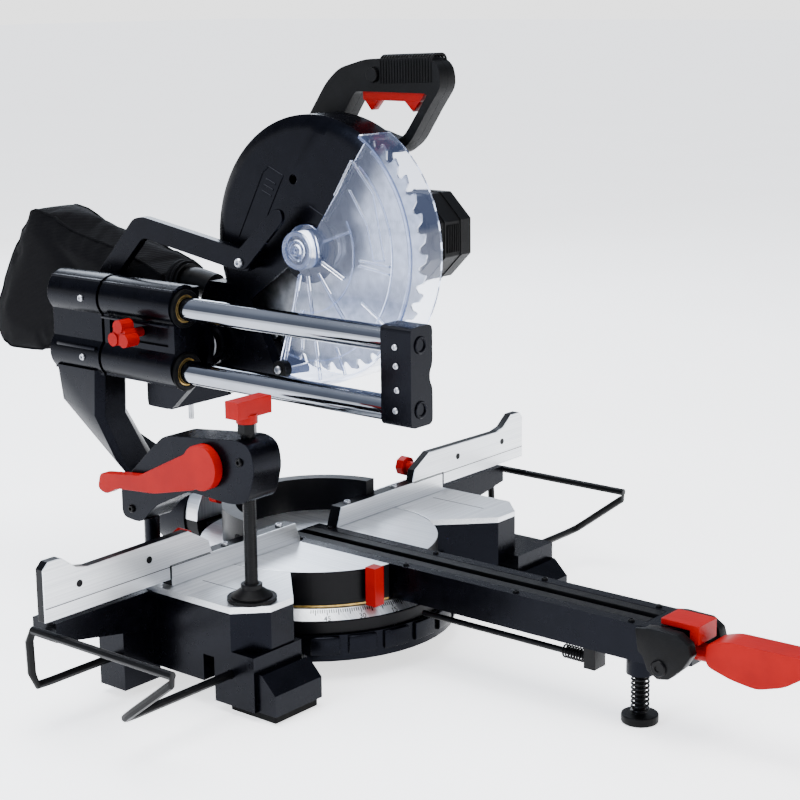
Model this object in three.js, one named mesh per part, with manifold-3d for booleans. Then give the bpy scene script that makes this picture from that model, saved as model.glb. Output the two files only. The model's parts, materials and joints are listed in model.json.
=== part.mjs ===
// A sliding compound mitre saw on its own base. Millimetres, +Z up, the user stands at -Y.
// Every solid is drawn in one frame: the mitre axis is x = 0, y = 0, and the floor is z = 0.
import * as THREE from 'three';
import Module from 'manifold-3d';

const wasm = await Module();
wasm.setup();

// ---- driving dimensions ----
const GAP = 0.3; // between faces that touch on the real saw
const TABLE_Z = 102; // machined table top, and the height of the bevel axis
const DISC_R = 121; // turntable
const RING_R = 138; // base ring under it
const BLADE_R = 125;
const HUB = { y: -18, z: 400 }; // blade axis, head up
const CHOP = { y: 116, z: 292 }; // chop hinge
const RAIL = { x: -79, r: 12, low: 272, high: 336, front: -196, back: 280 };
const STOP = { x: -20, y: 160 }; // depth-stop screw
const CARRIAGE = { front: 103, back: 206 };
const GUARD = { x0: -27, x1: 20, wall: 3, r: 126.2, rim: 128.8 };
const SHIELD = { inner: 130, outer: 133.2, x0: -31, x1: 14 }; // clear lower guard
const MOTOR = { y: -55, z: 402, r: 46.5 };
const GRIP_X = 37; // middle plane of the D-handle
const GRIP_HALF = 12;
const FENCE = { depth: 14, top: 122, inner: 28, outer: 204 };
const ARM = { half: 29, back: 26, front: -440, bottom: 68 };
const CLAMP = { x: -186, post: 45, spindle: -85 };
const FRONT_FOOT = { left: { x0: 148, x1: 210, y0: -134 }, right: { x0: 166, x1: 228, y0: -150 } };
const WIRE = { r: 4, z: 38, bar: 93, back: 36, front: -82 };
const CENTRE_Y = 36; // moves the whole saw so that its box is centred

// ---- materials ----
const finish = (color, roughness, metalness, extra = {}) =>
  new THREE.MeshStandardMaterial({ color, roughness, metalness, ...extra });
const BLACK_PAINT = finish(0x17181c, 0.45, 0.3);
const BLACK_PLASTIC = finish(0x131316, 0.55, 0);
const RUBBER = finish(0x0e0e0f, 0.9, 0);
const ALUMINIUM = finish(0xc9ccd0, 0.4, 0.9);
const CHROME = finish(0xd8dadd, 0.12, 1);
const STEEL = finish(0xb4b7bb, 0.3, 1);
const BRASS = finish(0xb38a3c, 0.3, 1);
const RED = finish(0xe3261c, 0.35, 0);
const CLEAR = finish(0xdfe8ee, 0.08, 0, { transparent: true, opacity: 0.35 });
const FABRIC = finish(0x101012, 0.95, 0);

// ---- shapes ----
const X = new THREE.Vector3(1, 0, 0);
const Y = new THREE.Vector3(0, 1, 0);
const Z = new THREE.Vector3(0, 0, 1);

const box = (x0, x1, y0, y1, z0, z1) =>
  new THREE.BoxGeometry(x1 - x0, y1 - y0, z1 - z0)
    .translate((x0 + x1) / 2, (y0 + y1) / 2, (z0 + z1) / 2);
const rodX = (y, z, r, x0, x1, sides = 20) =>
  new THREE.CylinderGeometry(r, r, x1 - x0, sides).rotateZ(Math.PI / 2).translate((x0 + x1) / 2, y, z);
const rodY = (x, z, r, y0, y1, sides = 20) =>
  new THREE.CylinderGeometry(r, r, y1 - y0, sides).translate(x, (y0 + y1) / 2, z);
const rodZ = (x, y, r, z0, z1, sides = 20) =>
  new THREE.CylinderGeometry(r, r, z1 - z0, sides).rotateX(Math.PI / 2).translate(x, y, (z0 + z1) / 2);

// A closed outline through points, with its corners rounded.
function outline(points, round = 0) {
  const shape = new THREE.Shape();
  const at = points.map(([a, b]) => new THREE.Vector2(a, b));
  at.forEach((here, i) => {
    const before = at[(i + at.length - 1) % at.length];
    const after = at[(i + 1) % at.length];
    const reach = (to) => Math.min(round, 0.45 * here.distanceTo(to));
    const toward = (to) => here.clone().add(to.clone().sub(here).setLength(reach(to)));
    const [p, q] = [toward(before), toward(after)];
    if (i === 0) shape.moveTo(p.x, p.y);
    else shape.lineTo(p.x, p.y);
    if (round > 0) shape.quadraticCurveTo(here.x, here.y, q.x, q.y);
  });
  shape.closePath();
  return shape;
}

// Part of a ring about a centre, between two angles in degrees.
function sector(centre, inner, outer, from, to) {
  const [a, b] = [THREE.MathUtils.degToRad(from), THREE.MathUtils.degToRad(to)];
  const shape = new THREE.Shape();
  shape.absarc(centre.y, centre.z, outer, a, b, false);
  if (inner > 0) shape.absarc(centre.y, centre.z, inner, b, a, true);
  else shape.lineTo(centre.y, centre.z);
  shape.closePath();
  return shape;
}

const extrude = (shape, depth, curveSegments) =>
  new THREE.ExtrudeGeometry(shape, { depth, bevelEnabled: false, curveSegments });
const basis = (a, b, c) => new THREE.Matrix4().makeBasis(a, b, c);
// A flat shape drawn in (y, z), (x, z) or (x, y), made into a slab along the third axis.
const slabX = (shape, x0, x1, segments = 3) =>
  extrude(shape, x1 - x0, segments).applyMatrix4(basis(Y, Z, X)).translate(x0, 0, 0);
const slabY = (shape, y0, y1, segments = 3) =>
  extrude(shape, y1 - y0, segments).applyMatrix4(basis(X, Z, Y.clone().negate())).translate(0, y1, 0);
const slabZ = (shape, z0, z1, segments = 3) => extrude(shape, z1 - z0, segments).translate(0, 0, z0);

// A round bar along straight runs with rounded bends.
function bar(points, radius, bend, sides = 8, steps = 40) {
  const at = points.map((p) => new THREE.Vector3(...p));
  const path = new THREE.CurvePath();
  let from = at[0];
  for (let i = 1; i < at.length - 1; i += 1) {
    const back = at[i].clone().add(at[i - 1].clone().sub(at[i]).setLength(bend));
    const on = at[i].clone().add(at[i + 1].clone().sub(at[i]).setLength(bend));
    path.add(new THREE.LineCurve3(from, back));
    path.add(new THREE.QuadraticBezierCurve3(back, at[i], on));
    from = on;
  }
  path.add(new THREE.LineCurve3(from, at[at.length - 1]));
  const section = new THREE.Shape();
  section.absarc(0, 0, radius, 0, 2 * Math.PI);
  return new THREE.ExtrudeGeometry(section, { steps, extrudePath: path, curveSegments: sides / 2 });
}

// A solid through rings of points, each ring a flat convex loop of the same count.
function loft(rings) {
  const count = rings[0].length;
  const at = rings.flat().flatMap((p) => p.toArray());
  const faces = [];
  for (let r = 0; r < rings.length - 1; r += 1) {
    for (let i = 0; i < count; i += 1) {
      const [a, b] = [r * count + i, r * count + ((i + 1) % count)];
      faces.push(a, b, a + count, b, b + count, a + count);
    }
  }
  const last = (rings.length - 1) * count;
  for (let i = 1; i < count - 1; i += 1) {
    faces.push(0, i + 1, i, last, last + i, last + i + 1);
  }
  const geometry = new THREE.BufferGeometry();
  geometry.setAttribute('position', new THREE.Float32BufferAttribute(at, 3));
  geometry.setIndex(faces);
  return geometry;
}

// One ring of a loft: a rectangle with cut corners, width along x and depth leaning by tilt degrees.
function ring(x, y, z, width, depth, tilt, cut = 8) {
  const lean = THREE.MathUtils.degToRad(tilt);
  const [w, d] = [width / 2, depth / 2];
  const loop = [[w - cut, -d], [w, cut - d], [w, d - cut], [w - cut, d],
    [cut - w, d], [-w, d - cut], [-w, cut - d], [cut - w, -d]];
  return loop.map(([a, b]) => new THREE.Vector3(x + a, y + b * Math.cos(lean), z + b * Math.sin(lean)));
}

// ---- booleans ----
function weld(geometry) {
  const index = geometry.index ? Array.from(geometry.index.array) : null;
  const from = geometry.getAttribute('position');
  const order = index ?? Array.from({ length: from.count }, (_, i) => i);
  const seen = new Map();
  const places = [];
  const triangles = order.map((i) => {
    const p = [from.getX(i), from.getY(i), from.getZ(i)];
    const key = p.map((v) => Math.round(v * 1e4)).join(' ');
    if (!seen.has(key)) {
      seen.set(key, places.length / 3);
      places.push(...p);
    }
    return seen.get(key);
  });
  const kept = [];
  for (let t = 0; t < triangles.length; t += 3) {
    const [a, b, c] = triangles.slice(t, t + 3);
    if (a !== b && b !== c && c !== a) kept.push(a, b, c);
  }
  return { places, kept };
}

function solid(geometry) {
  const { places, kept } = weld(geometry);
  return new wasm.Manifold(new wasm.Mesh({
    numProp: 3,
    vertProperties: new Float32Array(places),
    triVerts: new Uint32Array(kept),
  }));
}

function geometryOf(manifold) {
  const mesh = manifold.getMesh();
  const geometry = new THREE.BufferGeometry();
  geometry.setAttribute('position', new THREE.Float32BufferAttribute(mesh.vertProperties, 3));
  geometry.setIndex(Array.from(mesh.triVerts));
  return geometry;
}

// Joins a list of geometries and cuts another list out of them.
function build(joined, cut = []) {
  let body = joined.map(solid).reduce((a, b) => a.add(b));
  cut.forEach((tool) => {
    body = body.subtract(solid(tool));
  });
  return geometryOf(body);
}

const saw = new THREE.Group();
saw.position.y = CENTRE_Y;

function body(parent) {
  const group = new THREE.Group();
  parent.add(group);
  return group;
}

function part(parent, name, geometry, material) {
  const shape = geometry.index ? geometry.toNonIndexed() : geometry;
  shape.deleteAttribute('normal');
  shape.computeVertexNormals();
  const mesh = new THREE.Mesh(shape, material);
  mesh.name = name;
  parent.add(mesh);
}

const SIDES = [['left', -1], ['right', 1]];

// ---- base ----
// Plan of one side table: round the turntable, clear of the arm at 45 degrees, out to the end.
function tablePlan(side) {
  const clear = DISC_R + 1.5;
  const swing = 48; // how far a 45-degree line keeps off the mitre axis, along x
  const back = 62;
  const shape = new THREE.Shape();
  const nearFront = (Math.sqrt(2 * clear * clear - swing * swing) - swing) / 2;
  const points = [];
  const a0 = Math.atan2(-nearFront, nearFront + swing);
  const a1 = Math.asin(back / clear);
  for (let i = 0; i <= 10; i += 1) {
    const a = a0 + ((a1 - a0) * i) / 10;
    points.push([clear * Math.cos(a), clear * Math.sin(a)]);
  }
  points.push([214, back], [214, -84], [188, -110], [110 + swing, -110]);
  const placed = points.map(([x, y]) => [side * x, y]);
  shape.setFromPoints((side < 0 ? placed.reverse() : placed).map(([x, y]) => new THREE.Vector2(x, y)));
  return shape;
}

function mirrored(x0, x1, side) {
  return side > 0 ? [x0, x1] : [-x1, -x0];
}

function baseCasting() {
  const joined = [rodZ(0, 0, RING_R, 18, 44, 48)];
  const cut = [
    rodZ(0, 0, RING_R - 10, 10, 38, 48), // open underside
    rodZ(0, 0, 9, 30, 50),
    rodZ(0, 0, 136, 44.1, 68, 48), // room for the scale ring
  ];
  const footProfile = [[0, 8], [62, 8], [62, 40], [48, 44], [16, 44], [0, 28]];
  SIDES.forEach(([name, side]) => {
    const foot = FRONT_FOOT[name];
    const span = (x0, x1, ...rest) => box(...mirrored(x0, x1, side), ...rest);
    joined.push(
      slabZ(tablePlan(side), 50, 95.7),
      span(130, 214, -48, 56, 24, 52), // web down to the ring
      span(foot.x0 + 3, foot.x1 + 4, foot.y0 + 22, foot.y0 + 72, 8, 60), // front leg
      slabX(outline(footProfile.map(([y, z]) => [foot.y0 + y, z])), ...mirrored(foot.x0, foot.x1, side)),
      span(205, 250, 20, 54, 8, 80), // socket block of the rear prong
      span(95, 135, 60, 190, 8, 42), // rear foot
      slabY(outline([[210, 60], [334, 82], [334, 100], [220, 100], [216, 95], [210, 95]].map(([x, z]) => [side * x, z])), 12, 44),
    );
    cut.push(
      span(140, 205, -40, 50, 10, 88), // hollow under the table
      rodX(WIRE.back, WIRE.z, WIRE.r + 0.5, ...mirrored(150, 260, side), 12),
      rodX(WIRE.front, WIRE.z, WIRE.r + 0.5, ...mirrored(130, 260, side), 12),
    );
  });
  cut.push(rodZ(CLAMP.x, CLAMP.post, 7.8, 60, 100));
  return build(joined, cut);
}

function scaleRing() {
  const profile = [[100, 44.3], [134, 44.3], [134, 56], [124, 66.1], [100, 66.1], [100, 44.3]];
  return new THREE.LatheGeometry(profile.map(([r, z]) => new THREE.Vector2(r, z)), 48)
    .rotateX(Math.PI / 2);
}

function fenceCasting() {
  const foot = TABLE_Z + GAP;
  const arch = new THREE.Shape();
  arch.absarc(0, 0, 98, 0.09, Math.PI - 0.09, false);
  arch.absarc(0, 0, 84, Math.PI - 0.09, 0.09, true);
  arch.closePath();
  const joined = [slabZ(arch, foot + 0.7, 138, 14)];
  SIDES.forEach(([, side]) => {
    const wall = [[FENCE.inner, foot], [FENCE.outer, foot], [FENCE.outer, FENCE.top], [FENCE.inner + 7, FENCE.top]];
    joined.push(slabY(outline(wall.map(([x, z]) => [side * x, z])), 0, FENCE.depth));
    joined.push(box(...mirrored(84, 97, side), 6, 24, foot + 0.7, FENCE.top - 1));
  });
  return build(joined);
}

const base = body(saw);
part(base, 'base_casting', baseCasting(), BLACK_PAINT);
SIDES.forEach(([name, side]) => {
  const plate = slabZ(tablePlan(side), 96, TABLE_Z);
  part(base, `${name}_table_plate`, build([plate], [rodZ(CLAMP.x, CLAMP.post, 7.8, 90, 110)]), ALUMINIUM);
  const foot = FRONT_FOOT[name];
  const footPad = box(...mirrored(foot.x0 + 3, foot.x1 - 3, side), foot.y0 + 3, foot.y0 + 59, 0, 7.7);
  part(base, `front_${name}_foot_pad`, footPad, RUBBER);
  part(base, `rear_${name}_foot_pad`, box(...mirrored(97, 133, side), 150, 187, 0, 7.7), RUBBER);
});
part(base, 'scale_ring', scaleRing(), ALUMINIUM);
part(base, 'fence_casting', fenceCasting(), ALUMINIUM);
part(base, 'mitre_pivot_bolt', build([rodZ(0, 0, 8, 28, 62), rodZ(0, 0, 16, 26, 37.7, 6)]), STEEL);

// ---- sliding fences, extension wires and hold-down clamp ----
SIDES.forEach(([name, side]) => {
  const profile = [[355, 109], [355, 157], [349, 163], [334, 163], [318, 151], [304, 148],
    [182, 150], [156, 135], [152, 122.6], [206.5, 122.6], [206.5, 109]];
  const fence = body(base);
  part(fence, `${name}_sliding_fence`, slabY(outline(profile.map(([x, z]) => [side * x, z])), 0, 10), ALUMINIUM);
  const knob = build([rodY(side * 168, 134, 6, 10.3, 20), rodY(side * 168, 134, 11, 19, 29, 8)]);
  part(fence, `${name}_fence_knob`, knob, RED);

  const wire = body(base);
  const end = side * 344;
  const route = [[side * 190, WIRE.back, WIRE.z], [end, WIRE.back, WIRE.z], [end, WIRE.back + 2, WIRE.bar],
    [end, -155, WIRE.bar], [end, WIRE.front, WIRE.z], [side * 165, WIRE.front, WIRE.z]];
  part(wire, `${name}_support_wire`, bar(route, WIRE.r, 9, 8, 44), BLACK_PAINT);
});

function clampBody() {
  const profile = [[66, 158], [66, 190], [26, 228], [5, 246], [-92, 256], [-106, 250], [-110, 230],
    [-101, 200], [-80, 195], [-26, 198], [20, 176], [40, 156]];
  const arm = slabX(outline(profile, 8), CLAMP.x - 18, CLAMP.x + 18);
  return build([arm, rodZ(CLAMP.x, CLAMP.post, 7.5, 70, 170)], [rodZ(CLAMP.x, CLAMP.spindle, 6.4, 180, 270)]);
}

const clamp = body(base);
part(clamp, 'clamp_body', clampBody(), BLACK_PAINT);
const spindle = body(clamp);
const knobBar = box(CLAMP.x - 19, CLAMP.x + 24, CLAMP.spindle - 8, CLAMP.spindle + 8, 274, 290);
part(spindle, 'clamp_spindle', build([
  rodZ(CLAMP.x, CLAMP.spindle, 6, 112, 262, 14),
  rodZ(CLAMP.x, CLAMP.spindle, 10, 109.5, 118, 14),
  rodZ(CLAMP.x, CLAMP.spindle, 9, 258, 267.7, 6),
]), STEEL);
part(spindle, 'clamp_knob', build([rodZ(CLAMP.x, CLAMP.spindle, 10, 268, 276), knobBar]), RED);
part(spindle, 'clamp_pad', build([
  rodZ(CLAMP.x, CLAMP.spindle, 23, 102.5, 106),
  rodZ(CLAMP.x, CLAMP.spindle, 13, 105, 109.2),
]), BLACK_PLASTIC);
const CAM = { y: -50, z: 226 };
const camArm = [[-54, 247], [30, 206], [84, 200], [88, 184], [76, 180], [62, 188], [10, 192], [-46, 205]];
part(body(clamp), 'clamp_cam_lever', build([
  rodX(CAM.y, CAM.z, 21, CLAMP.x - 28, CLAMP.x - 18.3, 24),
  slabX(outline(camArm, 5), CLAMP.x - 28, CLAMP.x - 18.3),
]), RED);

// ---- turntable and mitre arm ----
function turntableDisc() {
  return build(
    [
      rodZ(0, 0, DISC_R, 66.5, TABLE_Z, 64),
      box(-30, 30, 95, 149.5, 70, 98), // neck back to the bevel joint
      rodY(0, TABLE_Z, 44, 132, 149.5, 32),
    ],
    [
      box(-ARM.half - GAP, ARM.half + GAP, -140, ARM.back + GAP, 60, 110),
      box(-46, 46, 100, 131, TABLE_Z, 150),
      rodZ(0, 0, 29, 60, 71), // room for the hub of the arm
    ],
  );
}

function mitreArm() {
  const plan = [[ARM.half, ARM.back], [-ARM.half, ARM.back], [-ARM.half, -408], [-9, ARM.front],
    [9, ARM.front], [ARM.half, -408]];
  return build(
    [
      slabZ(outline(plan), ARM.bottom, TABLE_Z),
      rodZ(0, 0, 28, 44.6, ARM.bottom + 2, 32),
      rodZ(0, -383, 13, 46, ARM.bottom + 2),
    ],
    [
      box(-17, 17, -399, 24, 97, 110), // seat of the kerf plates
      box(-6, 6, -393, 20, 88, 110), // blade slot
      box(-22, 22, -360, -145, 60, 83), // hollow under the arm
      rodZ(0, 0, 8.4, 40, 66),
      rodZ(0, -383, 5.4, 40, 84, 12),
    ],
  );
}

const turntable = body(base);
part(turntable, 'turntable_disc', turntableDisc(), ALUMINIUM);
part(turntable, 'mitre_arm', mitreArm(), BLACK_PAINT);
SIDES.forEach(([name, side]) => {
  const plate = box(...mirrored(5, 16.7, side), -398.5, 23.5, 97.3, TABLE_Z - 0.1);
  part(turntable, `${name}_kerf_plate`, plate, BLACK_PLASTIC);
});
part(turntable, 'mitre_pointer', box(-61, -48, -126, -113.5, 68, 106), RED);
part(turntable, 'detent_rod', build([
  rodY(-18, 56, 3, -345, -150, 10),
  box(-27, -9, -352, -340, 48, 67.7),
]), STEEL);
const leverProfile = [[-412, 102.6], [-412, 108], [-450, 108], [-450, 91], [-440.6, 91], [-440.6, 102.6]];
part(body(turntable), 'index_lever', slabX(outline(leverProfile), -15, 15), RED);
const handleProfile = [[-456, 94], [-475, 100], [-545, 101], [-552, 96], [-552, 87], [-530, 72], [-505, 64],
  [-480, 67], [-456, 74]];
part(body(turntable), 'mitre_lock_handle', build([
  slabX(outline(handleProfile, 6), -14, 14),
  rodY(0, 80, 8, -460, -440.3),
]), RED);
part(body(turntable), 'arm_support_foot', build([
  rodZ(0, -383, 5, 6, 64, 12),
  rodZ(0, -383, 17, 0, 8),
]), BLACK_PLASTIC);
part(body(turntable), 'bevel_lock_knob', build([
  rodY(-26, 131, 5, 122, 131.7),
  rodY(-26, 131, 11, 112, 123, 8),
]), RED);

// ---- bevel arm with its rails ----
// A housing round both rails: a barrel on each rail, and a flatter web between them.
function railHousing(y0, y1, radius) {
  const top = RAIL.high + 2;
  const bottom = RAIL.low + 4;
  return [
    rodY(RAIL.x, top, radius, y0, y1, 32),
    rodY(RAIL.x, bottom, radius, y0, y1, 32),
    box(RAIL.x - radius + 7, RAIL.x + radius - 1, y0, y1, bottom - radius + 4, top + radius - 4),
  ];
}

function bevelArm() {
  const rings = [
    ring(-78.5, 247, 262, 43, 74, 0),
    ring(-74, 250, 218, 44, 66, 14),
    ring(-48, 236, 170, 50, 56, 38),
    ring(-14, 206, 124, 62, 52, 60),
    ring(0, 180, 100, 66, 52, 78),
  ];
  const joined = [
    ...railHousing(209, 285, 23),
    loft(rings.reverse()),
    rodY(0, TABLE_Z, 46, 150, 196, 32),
  ];
  const cut = [RAIL.low, RAIL.high].map((z) => rodY(RAIL.x, z, RAIL.r + GAP, 200, RAIL.back + 1, 28));
  return build(joined, cut);
}

const bevel = body(turntable);
part(bevel, 'bevel_arm', bevelArm(), BLACK_PAINT);
[['lower', RAIL.low], ['upper', RAIL.high]].forEach(([name, z]) => {
  part(bevel, `${name}_rail`, rodY(RAIL.x, z, RAIL.r, RAIL.front, RAIL.back, 28), CHROME);
});
const bracketPlan = [[-64, 352], [-95, 352], [-95, 260], [-64, 260], [-64, 294], [-68, 300], [-68, 309],
  [-64, 315]];
part(bevel, 'front_bracket', build(
  [slabY(outline(bracketPlan.reverse(), 6), -200, -165)],
  [RAIL.low, RAIL.high].map((z) => rodY(RAIL.x, z, RAIL.r + GAP, RAIL.front - 1, -160, 28)),
), BLACK_PAINT);

// ---- carriage on the rails ----
function carriageHousing() {
  const lug = (x0, x1) => slabX(outline([[CHOP.y - 26, 300], [CHOP.y - 20, 272], [150, 222], [185, 222],
    [185, 262], [142, 316], [100, 318]], 6), x0, x1);
  const joined = [
    ...railHousing(CARRIAGE.front, CARRIAGE.back, 22),
    lug(-58, -50),
    lug(27, 36),
    box(-57, 30, 150, 185, 222, 256), // bridge behind the hinge, which is also the depth stop
  ];
  const cut = [RAIL.low, RAIL.high].map((z) => rodY(RAIL.x, z, 14.5, 90, 220, 28));
  cut.push(rodX(CHOP.y, CHOP.z, 9.3, -61, 40), rodZ(STOP.x, STOP.y, 3.4, 200, 270, 12));
  cut.push(box(-110, -90, 112, 198, 298, 317)); // recess round the slide lock
  return build(joined, cut);
}

const carriage = body(bevel);
part(carriage, 'carriage_housing', carriageHousing(), BLACK_PAINT);
[['lower', RAIL.low], ['upper', RAIL.high]].forEach(([name, z]) => {
  const bush = build([rodY(RAIL.x, z, 14.2, 101, 120, 28)], [rodY(RAIL.x, z, RAIL.r + GAP, 95, 125, 28)]);
  part(carriage, `${name}_rail_bush`, bush, BRASS);
});
part(carriage, 'chop_pivot_pin', rodX(CHOP.y, CHOP.z, 9, -60.5, 39), STEEL);
const lobes = [0, 120, 240].map((degrees) => {
  const a = THREE.MathUtils.degToRad(degrees + 90);
  return rodX(155 + 9 * Math.cos(a), 309 + 9 * Math.sin(a), 7, -122, -106, 12);
});
part(body(carriage), 'slide_lock_knob', build([rodX(155, 309, 10, -120, -106), ...lobes,
  rodX(155, 309, 5, -108, -90.3)]), RED);
part(body(carriage), 'depth_stop_screw', build([rodZ(STOP.x, STOP.y, 3, 204, 262, 10), rodZ(STOP.x, STOP.y, 5.5, 260, 267, 6)]),
  STEEL);

// ---- head ----
// The upper guard: a drum with a sloping shoulder on its left side, over the top and back of the blade.
function guardShell() {
  const slope = [[111, -28], [134, -28], [134, -16], [111, -28]];
  const shoulder = new THREE.LatheGeometry(slope.map(([r, x]) => new THREE.Vector2(r, x)), 60)
    .rotateZ(-Math.PI / 2).translate(0, HUB.y, HUB.z);
  return build([slabX(sector(HUB, 0, GUARD.rim, -36, 124), GUARD.x0, GUARD.x1, 24)], [shoulder]);
}

function headCasting() {
  const arm = [[70, 356], [122, 356], [136, 330], [138, 296], [130, 275], [104, 271], [70, 254], [24, 262]];
  const gearbox = outline([[20, 425], [-20, 448], [-70, 446], [-98, 420], [-98, 382], [-70, 358], [-20, 358],
    [20, 380]], 12);
  const riser = outline([[30, 425], [40, 505], [-60, 500], [-66, 430]], 8);
  const joined = [
    guardShell(),
    rodX(HUB.y, HUB.z, 34, GUARD.x0, GUARD.x1, 28),
    slabX(outline(arm, 6), GUARD.x0, GUARD.x1),
    rodX(CHOP.y, CHOP.z, 22, -34, 25, 28),
    slabX(gearbox, GUARD.x1 - 1, 56),
    slabX(riser, 24, 50),
    rodX(52, 384, 9, -35.7, GUARD.x0 + 1), // studs of the carry handle
    rodX(128, 318, 9, -35.7, GUARD.x0 + 1),
  ];
  const cut = [
    rodX(HUB.y, HUB.z, GUARD.r, -15, GUARD.x1 - GUARD.wall, 60), // room for the blade
    rodX(HUB.y, HUB.z, 108, GUARD.x0 + GUARD.wall, -14, 60), // and for its flange and bolt
    rodX(HUB.y, HUB.z, 8.4, 10, 50),
    rodX(CHOP.y, CHOP.z, 9.3, -40, 30),
    rodX(0, 466, 5, -30, -20, 12),
  ];
  return build(joined, cut);
}

// The motor's body is an octagon with flats to the front, back, top and bottom.
const motorPrism = (x0, x1) => new THREE.CylinderGeometry(MOTOR.r, MOTOR.r, x1 - x0, 8, 1, false, Math.PI / 8)
  .rotateZ(Math.PI / 2).translate((x0 + x1) / 2, MOTOR.y, MOTOR.z);

const head = body(carriage);
part(head, 'head_casting', headCasting(), BLACK_PAINT);
part(head, 'motor_housing', motorPrism(56.3, 112), BLACK_PLASTIC);
const capProfile = [[0, 112.3], [MOTOR.r, 112.3], [MOTOR.r, 128], [34, 140], [0, 140]];
part(head, 'motor_end_cap', new THREE.LatheGeometry(capProfile.map(([r, x]) => new THREE.Vector2(r, x)), 8, Math.PI / 8)
  .rotateZ(-Math.PI / 2).translate(0, MOTOR.y, MOTOR.z), BLACK_PLASTIC);
part(head, 'cable_gland', build([rodY(88, MOTOR.z, 9, -11.7, 0, 12), rodY(88, MOTOR.z, 6, -1, 22, 12)]), RUBBER);

function handleShell(x0, x1) {
  const shell = outline([[37, 507], [1, 557], [-16, 571], [-50, 580], [-126, 583], [-139, 575], [-142, 556],
    [-127, 536], [-104, 502], [-84, 489], [-48, 502]], 8);
  const opening = outline([[-10, 510], [-58, 511], [-70, 507], [-88, 503.5], [-98, 510], [-126, 549], [-36, 549]], 5);
  return build(
    [slabX(shell, x0, x1)],
    [
      slabX(opening, x0 - 1, x1 + 1),
      box(GRIP_X - 6.5, GRIP_X + 6.5, -122, -38, 538, 558),
      rodX(-60, 565, 7.4, 20, 32, 14),
      box(24, 57, -67, 45, 480, 505.5), // sits on the riser of the casting
    ],
  );
}

part(head, 'left_handle_shell', handleShell(GRIP_X - GRIP_HALF, GRIP_X - 0.15), BLACK_PLASTIC);
part(head, 'right_handle_shell', handleShell(GRIP_X + 0.15, GRIP_X + GRIP_HALF), BLACK_PLASTIC);
part(body(head), 'switch_trigger', slabX(outline([[-112, 540.5], [-119, 551], [-41, 551], [-41, 540.5]], 2),
  GRIP_X - 6, GRIP_X + 6), RED);
part(body(head), 'lock_off_button', rodX(-60, 565, 7, 21, 28, 14), BLACK_PLASTIC);

const carry = [[44, 374], [44, 394], [196, 418], [210, 415], [268, 354], [262, 340], [140, 310], [118, 310],
  [118, 328], [136, 330], [240, 352], [196, 396], [62, 374]];
part(head, 'carry_handle', slabX(outline(carry, 5), -46, -36), BLACK_PAINT);
part(head, 'dust_elbow', build([
  bar([[-4, 134, 344], [-4, 160, 348], [-4, 186, 346]], 15, 8, 14, 8),
  rodY(-4, 346, 20, 172, 187, 20),
]), BLACK_PLASTIC);
const bag = [[187.5, 356], [252, 380], [336, 400], [392, 418], [404, 414], [442, 372], [478, 290], [480, 276],
  [470, 252], [452, 243], [394, 244], [290, 292], [187.5, 336]];
part(head, 'dust_bag', slabX(outline(bag, 6), -33, 43), FABRIC);

function coil(radius, wire, x0, x1, turns) {
  const path = new THREE.Curve();
  path.getPoint = (t) => {
    const a = 2 * Math.PI * turns * t;
    return new THREE.Vector3(x0 + (x1 - x0) * t, CHOP.y + radius * Math.cos(a), CHOP.z + radius * Math.sin(a));
  };
  const section = new THREE.Shape();
  section.absarc(0, 0, wire, 0, 2 * Math.PI);
  return new THREE.ExtrudeGeometry(section, { steps: turns * 14, extrudePath: path, curveSegments: 3 });
}
part(head, 'chop_return_spring', coil(14, 1.6, -46.5, -37, 3), STEEL);

// ---- clear lower guard, its link and the blade ----
const shield = body(head);
part(shield, 'lower_guard', build([
  slabX(sector(HUB, SHIELD.inner, SHIELD.outer, 122, 288), SHIELD.x0, SHIELD.x1, 18),
  slabX(sector(HUB, 14, SHIELD.outer, 126, 288), SHIELD.x0, -28.5, 18),
  rodX(HUB.y, HUB.z, 24, -31, -28.5, 24),
  rodX(HUB.y, HUB.z, 19, -43, -30, 24),
]), CLEAR);
const roller = { y: HUB.y + 125 * Math.cos(-1.33), z: HUB.z + 125 * Math.sin(-1.33) };
part(body(shield), 'guard_roller', rodX(roller.y, roller.z, 9, -41, -31.3, 16), BLACK_PLASTIC);
const link = [[58, 376], [60, 390], [4, 440], [-6, 438], [-7, 428], [46, 376]];
part(body(head), 'guard_link', slabX(outline(link, 5), -51, -46.4), BLACK_PAINT);

const blade = body(head);
part(blade, 'saw_blade', build([rodX(HUB.y, HUB.z, BLADE_R, -1.3, 1.3, 60)], [rodX(HUB.y, HUB.z, 8.3, -5, 5)]), STEEL);
part(blade, 'arbor_shaft', build([rodX(HUB.y, HUB.z, 8, -9, 48), rodX(HUB.y, HUB.z, 22, 1.6, 7, 24)]), STEEL);
part(blade, 'blade_flange', build([rodX(HUB.y, HUB.z, 22, -7, -1.6, 24)], [rodX(HUB.y, HUB.z, 8.3, -10, 0)]), STEEL);
part(blade, 'arbor_bolt', rodX(HUB.y, HUB.z, 11, -15, -9.3, 6), STEEL);

export default saw;
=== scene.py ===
# %% [markdown]
# # A sliding mitre saw, part by part
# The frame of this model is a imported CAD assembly: castings, rails, plates, a motor and a clear guard, each a
# separate named piece. Here we give every piece its real finish and add the small work that makes it a saw:
# teeth, screws, springs, ribs, scale marks and a cloth dust bag. Every cell explains one piece before making it.

import json
import math

import bmesh
import bpy
from mathutils import Matrix, Vector

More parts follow.
